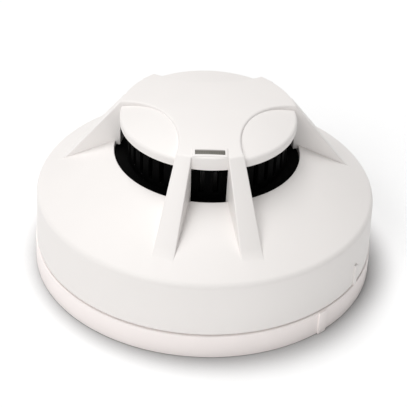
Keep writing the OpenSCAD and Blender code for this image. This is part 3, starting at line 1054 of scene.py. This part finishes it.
def hook(s, middle, half, stop):
    """A hook of the twist lock, with its ledge and its end stop."""
    inner = s.hook_out - s.hook_wall
    wall = swept(
        section(
            [
                (inner, s.floor - SINK),
                (s.hook_out, s.floor - SINK),
                (s.hook_out, s.ledge + s.ledge_thick),
                (s.ledge_in, s.ledge + s.ledge_thick),
                (s.ledge_in, s.ledge),
                (inner, s.ledge),
            ]
        ),
        middle,
        half,
    )
    rounded_edges(wall, [e for e in sharp_edges(wall) if min(v.co.z for v in e.verts) > s.floor], 0.18)
    block_end = swept(
        section(
            [
                (s.ledge_in + 0.02, s.floor - SINK),
                (inner + 0.5, s.floor - SINK),
                (inner + 0.5, s.ledge + 0.5),
                (s.ledge_in + 0.02, s.ledge + 0.5),
            ]
        ),
        middle - half + stop + 0.05,
        stop,
        4,
    )
    return [wall, block_end]


def stadium(half_width, long, low, high):
    """A slot with round ends, as a tool."""
    bm = bmesh.new()
    bmesh.ops.create_grid(bm, x_segments=1, y_segments=1, size=0.5)
    bmesh.ops.scale(bm, verts=bm.verts, vec=(long, 2 * half_width, 1))
    rounded_edges(bm, bm.verts[:], half_width * 0.999, 12, "VERTICES")
    moved(bm, z=low)
    return raised(bm, high - low)


class OBJECT_OT_detector_base(bpy.types.Operator):
    """Builds the mounting base: its rim, floor, hooks, slots and terminal seats"""

    bl_idname = "object.detector_base"
    bl_label = "Mounting base"

    def execute(self, context):
        s = in_mm(context.scene.detector_base)
        cover = in_mm(context.scene.detector_cover)
        looks = context.scene.detector_looks
        twist = math.degrees(looks.twist)
        bowl = s.radius - s.wall
        base = as_object(
            spun(
                section(
                    [
                        (0, 0),
                        (s.radius, 0, 0.35),
                        (s.radius, s.height, 0.35),
                        (bowl, s.height, 0.3),
                        (bowl, s.seat, 0.2),
                        (s.seat_radius, s.seat, 0.3),
                        (s.seat_radius, s.floor, 0.4),
                        (0, s.floor),
                    ]
                )
            ),
            "MountingBase",
        )
        collar = spun(
            section(
                [
                    (s.cable - SINK, s.floor - SINK),
                    (s.cable + COLLAR_WALL, s.floor - SINK),
                    (s.cable + COLLAR_WALL, s.floor + COLLAR_RISE, 0.4),
                    (s.cable - SINK, s.floor + COLLAR_RISE),
                ]
            ),
            96,
        )
        mark = twist_mark(
            s.radius,
            cover.mark_out,
            s.mark_width,
            0.05,
            s.height - 0.02,
            math.degrees(looks.mark_bearing) - twist,
        )
        lumps = [collar, mark]
        for a in ARMS:
            lumps += hook(s, a + HOOK_TURN - twist, HOOK_HALF, HOOK_STOP)
        seats = [
            turned(block(*TERMINAL_SEAT, s.floor - SINK, s.floor + 2, 0.25), a)
            for a in TERMINAL_BEARINGS
        ]
        combined(base, "UNION", [gathered(lumps), gathered(seats)])
        tools = [rod(s.cable, -1, s.height, steps=96)]
        for turn, distance in SLOT_PAIRS:
            for side in (-1, 1):
                tools.append(
                    turned(
                        moved(
                            stadium(s.slot, s.slot_long, -1, s.floor + 1), x=side * distance / 2
                        ),
                        turn,
                    )
                )
        for a in TERMINAL_BEARINGS:
            for radius, out in TERMINAL_HOLES:
                tools.append(turned(moved(rod(radius, 1, 5), y=-out), a))
        combined(base, "DIFFERENCE", [gathered(tools)])
        finished(
            base, "base", finish_of("base_plastic", looks), "base_plastic", "mounting_base"
        )
        return {"FINISHED"}


class OBJECT_OT_detector_seal(bpy.types.Operator):
    """Builds the sealing ring with its four lobes"""

    bl_idname = "object.detector_seal"
    bl_label = "Sealing ring"

    def execute(self, context):
        looks = context.scene.detector_looks
        outer = SEAL_HIGH.x / MM
        inner = outer - 2
        low, high = SEAL_LOW.z / MM, SEAL_HIGH.z / MM
        middle = (low + high) / 2
        waist = 0.4
        ring = spun(
            section(
                [
                    (inner, low, 0.6),
                    (outer, low, 0.6),
                    (outer - waist, middle, 0.5),
                    (outer, high, 0.6),
                    (inner, high, 0.6),
                    (inner + waist, middle, 0.5),
                ]
            )
        )
        finished(
            as_object(ring, "SealRing"),
            "seal",
            finish_of("seal_rubber", looks),
            "seal_rubber",
            "seal_ring",
        )
        return {"FINISHED"}


SOFT_COPIES = {
    "backplate": (("head_backplate", "Backplate", "base_plastic", 0.2),),
    "terminals": (
        ("contact_line_in", "ContactLineIn", "contact_metal", 0.12),
        ("contact_line_out", "ContactLineOut", "contact_metal", 0.12),
        ("contact_common", "ContactCommon", "contact_metal", 0.12),
        ("contact_remote", "ContactRemote", "contact_metal", 0.12),
        ("pin_line_in", "PinLineIn", "contact_metal", 0.12),
        ("pin_line_out", "PinLineOut", "contact_metal", 0.12),
        ("pin_common", "PinCommon", "contact_metal", 0.12),
        ("pin_remote", "PinRemote", "contact_metal", 0.12),
        ("contact_rivets", "ContactRivets", "steel", 0.12),
        ("clamp_plates", "ClampPlates", "steel", 0.15),
    ),
    "screws": (
        ("terminal_screws", "TerminalScrews", "steel", 0.1),
        ("cover_screws", "CoverScrews", "steel", 0.1),
        ("board_screws", "BoardScrews", "steel", 0.08),
    ),
    "indicator": (
        ("light_pipe", "LightPipe", "lens_grey", 0.12),
        ("alarm_led", "AlarmLed", "led_red", 0.08),
    ),
    "sensor": (
        ("chamber_base", "ChamberBase", "black_plastic", 0.15),
        ("sensor_guard", "SensorGuard", "black_plastic", 0.15),
        ("thermistor_mast", "ThermistorMast", "black_plastic", 0.2),
        ("thermistor_leads", "ThermistorLeads", "contact_metal", 0.05),
        ("thermistor_bead", "ThermistorBead", "thermistor_epoxy", 0.03),
    ),
    "electronics": (
        ("circuit_board", "CircuitBoard", "board", 0.08),
        ("rating_label", "RatingLabel", "label", 0.04),
        ("microcontroller", "Microcontroller", "chip_black", 0.06),
        ("bridge_rectifier", "BridgeRectifier", "chip_black", 0.12),
        ("surge_varistor", "SurgeVaristor", "varistor_blue", 0.4),
        ("capacitors", "Capacitors", "capacitor_sleeve", 0.15),
        ("film_capacitor", "FilmCapacitor", "film_red", 0.3),
        ("resistors", "Resistors", "chip_black", 0.08),
        ("diodes", "Diodes", "diode_glass", 0.12),
        ("reed_switch", "ReedSwitch", "reed_glass", 0.15),
    ),
}


def soften_group(context, group):
    """Builds the softened copies of one group of nodes."""
    looks = context.scene.detector_looks
    for node, name, slot, edge in SOFT_COPIES[group]:
        body = frame["nodes"][node]["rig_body"]
        softened(node, name, body, finish_of(slot, looks), slot, edge)


class OBJECT_OT_detector_backplate(bpy.types.Operator):
    """Builds the head's backplate with its hub and lugs"""

    bl_idname = "object.detector_backplate"
    bl_label = "Backplate"

    def execute(self, context):
        soften_group(context, "backplate")
        return {"FINISHED"}


class OBJECT_OT_detector_terminals(bpy.types.Operator):
    """Builds the contacts, their leaves and the head's pins"""

    bl_idname = "object.detector_terminals"
    bl_label = "Terminals"

    def execute(self, context):
        soften_group(context, "terminals")
        return {"FINISHED"}


class OBJECT_OT_detector_screws(bpy.types.Operator):
    """Builds the terminal, cover and board screws"""

    bl_idname = "object.detector_screws"
    bl_label = "Screws"

    def execute(self, context):
        soften_group(context, "screws")
        return {"FINISHED"}


class OBJECT_OT_detector_indicator(bpy.types.Operator):
    """Builds the light pipe and the alarm light below it"""

    bl_idname = "object.detector_indicator"
    bl_label = "Indicator"

    def execute(self, context):
        soften_group(context, "indicator")
        return {"FINISHED"}


class OBJECT_OT_detector_sensor(bpy.types.Operator):
    """Builds the thermistor, its post, its guard and the black chamber"""

    bl_idname = "object.detector_sensor"
    bl_label = "Sensor"

    def execute(self, context):
        soften_group(context, "sensor")
        return {"FINISHED"}


class OBJECT_OT_detector_electronics(bpy.types.Operator):
    """Builds the circuit board and the parts on it, and the rating label"""

    bl_idname = "object.detector_electronics"
    bl_label = "Electronics"

    def execute(self, context):
        soften_group(context, "electronics")
        return {"FINISHED"}


# ---- the stage ----


def direction(bearing, elevation):
    """A unit vector at a bearing from the front and a height, both in radians."""
    level = math.cos(elevation)
    return Vector((math.sin(bearing) * level, -math.cos(bearing) * level, math.sin(elevation)))


def sun(name, strength, bearing, elevation, softness=30):
    """A distant light with soft edges. Its angles are in degrees."""
    data = bpy.data.lights.new(name, "SUN")
    data.energy = strength
    data.angle = math.radians(softness)
    light = bpy.data.objects.new(name, data)
    towards = direction(math.radians(bearing), math.radians(elevation))
    light.rotation_euler = towards.to_track_quat("Z", "Y").to_euler()
    bpy.context.scene.collection.objects.link(light)
    return light


def floor_finish():
    """A pale matt table top, with painted shade that darkens it close under what stands on it."""
    f = Finish("StageFloor", Specular_IOR_Level=0.0, Roughness=1.0)
    near = f.node("ShaderNodeAmbientOcclusion", {"samples": 8}, {"Distance": 0.009})
    # Painted shade: the floor's colour darkens where the occlusion finds the object close by, standing
    # in for its shadow.
    open_sky = Value(f, near.outputs["AO"]).between(0.4, 0.95)
    f.feed("Base Color", f.blended(open_sky, (0.46, 0.46, 0.46), (0.96, 0.96, 0.96)))
    return f.material


class OBJECT_OT_detector_stage(bpy.types.Operator):
    """Builds the pale floor, the soft lights and the camera"""

    bl_idname = "object.detector_stage"
    bl_label = "Stage"

    def execute(self, context):
        s = context.scene.detector_stage
        bm = bmesh.new()
        bmesh.ops.create_grid(bm, x_segments=1, y_segments=1, size=3)
        moved(bm, z=-FLOOR_GAP)
        floor = as_object(bm, "StageFloor")
        floor.data.materials.append(floor_finish())
        sun("Key", s.key, -150, 70)
        sun("Fill", s.fill, -40, 40)
        sun("LowLight", s.low, -10, 15)
        world = bpy.data.worlds.new("Studio")
        world.use_nodes = True
        world.node_tree.nodes["Background"].inputs["Color"].default_value = (1, 1, 1, 1)
        world.node_tree.nodes["Background"].inputs["Strength"].default_value = s.sky
        context.scene.world = world
        context.scene.view_settings.view_transform = "Standard"
        back = direction(s.azimuth, s.elevation)
        right = Vector((math.cos(s.azimuth), math.sin(s.azimuth), 0))
        up = back.cross(right)
        across = right * math.cos(s.roll) + up * math.sin(s.roll)
        data = bpy.data.cameras.new("Camera")
        data.lens = s.lens
        data.sensor_width = 36
        camera = bpy.data.objects.new("Camera", data)
        target = right * AIM[0] + Vector((0, 0, AIM[1]))
        turn = Matrix((across, back.cross(across), back)).transposed().to_4x4()
        camera.matrix_world = Matrix.Translation(target + back * s.distance) @ turn
        data.clip_start = 0.01
        data.clip_end = 20
        context.scene.collection.objects.link(camera)
        context.scene.camera = camera
        return {"FINISHED"}


# ---- the add-on ----

STEPS = (
    OBJECT_OT_detector_cover,
    OBJECT_OT_detector_base,
    OBJECT_OT_detector_seal,
    OBJECT_OT_detector_backplate,
    OBJECT_OT_detector_terminals,
    OBJECT_OT_detector_screws,
    OBJECT_OT_detector_indicator,
    OBJECT_OT_detector_sensor,
    OBJECT_OT_detector_electronics,
    OBJECT_OT_detector_stage,
)

SETTINGS = {
    "detector_cover": DetectorCoverSizes,
    "detector_base": DetectorBaseSizes,
    "detector_looks": DetectorLooks,
    "detector_stage": DetectorStage,
}


class VIEW3D_PT_detector(bpy.types.Panel):
    """Lists the steps that build the heat detector"""

    bl_label = "Heat Detector"
    bl_idname = "VIEW3D_PT_detector"
    bl_space_type = "VIEW_3D"
    bl_region_type = "UI"
    bl_category = "Heat Detector"

    def draw(self, context):
        for step in STEPS:
            self.layout.operator(step.bl_idname)
        for name, group in SETTINGS.items():
            box = self.layout.box()
            for key in group.__annotations__:
                box.prop(getattr(context.scene, name), key)


def register():
    """Adds the settings, the steps and the panel to Blender."""
    for name, group in SETTINGS.items():
        bpy.utils.register_class(group)
        setattr(bpy.types.Scene, name, bpy.props.PointerProperty(type=group))
    for step in STEPS:
        bpy.utils.register_class(step)
    bpy.utils.register_class(VIEW3D_PT_detector)


def unregister():
    """Takes them away again."""
    bpy.utils.unregister_class(VIEW3D_PT_detector)
    for step in reversed(STEPS):
        bpy.utils.unregister_class(step)
    for name, group in reversed(SETTINGS.items()):
        delattr(bpy.types.Scene, name)
        bpy.utils.unregister_class(group)


def main():
    """Builds the whole object."""
    register()
    bpy.ops.object.detector_cover()
    bpy.ops.object.detector_base()
    bpy.ops.object.detector_seal()
    bpy.ops.object.detector_backplate()
    bpy.ops.object.detector_terminals()
    bpy.ops.object.detector_screws()
    bpy.ops.object.detector_indicator()
    bpy.ops.object.detector_sensor()
    bpy.ops.object.detector_electronics()
    bpy.ops.object.detector_stage()


if __name__ == "__main__":
    main()
